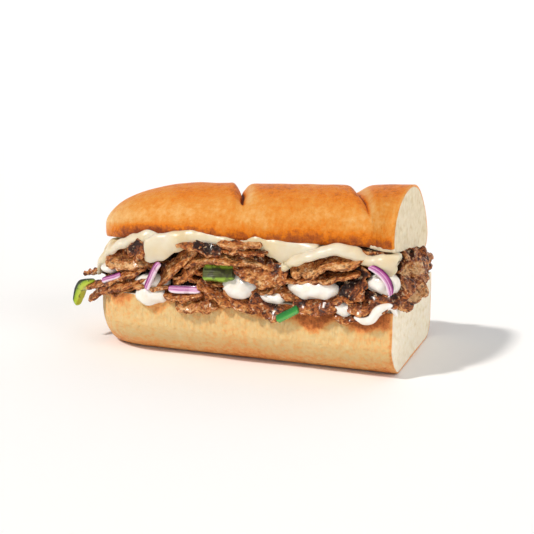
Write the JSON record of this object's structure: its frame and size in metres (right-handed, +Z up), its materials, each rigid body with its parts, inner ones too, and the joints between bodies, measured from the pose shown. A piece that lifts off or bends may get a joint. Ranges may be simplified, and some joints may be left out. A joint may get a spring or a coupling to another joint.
{
  "type": "submarine sandwich",
  "caption": "Half of a long sandwich in soft white bread, with a rounded end and a square cut end, filled with shaved steak, melted cheese, red onion, green pepper and white sauce.",
  "frame": {"origin": "on the flat underside of the bread's heel, midway between its two long edges", "axes": "+X along the loaf towards the cut end, -Y towards the side where the filling hangs out most, +Z up"},
  "size_m": [0.1607, 0.0832, 0.0775],
  "materials": {
    "bread": "soft white bread, its crust baked golden brown and its crumb pale",
    "cheese": "melted pale cheese with a soft shine",
    "onion": "red onion, purple outside and paler within",
    "pepper": "green pepper, grilled, dark skin and yellow-green flesh",
    "sauce": "smooth white sauce",
    "steak": "browned shaved steak, moist, with darker edges"
  },
  "bodies": {
    "root": {"bread_heel": "bread", "bread_crown": "bread", "cheese_1": "cheese", "cheese_2": "cheese", "cheese_3": "cheese", "cheese_4": "cheese", "onion_1": "onion", "onion_2": "onion", "onion_3": "onion", "onion_4": "onion", "onion_5": "onion", "pepper_1": "pepper", "pepper_2": "pepper", "pepper_3": "pepper", "pepper_4": "pepper", "sauce_1": "sauce", "sauce_2": "sauce", "sauce_3": "sauce", "sauce_4": "sauce", "sauce_5": "sauce", "sauce_6": "sauce", "sauce_7": "sauce", "sauce_8": "sauce", "sauce_9": "sauce", "sauce_10": "sauce", "steak": "steak"}
  },
  "joints": []
}
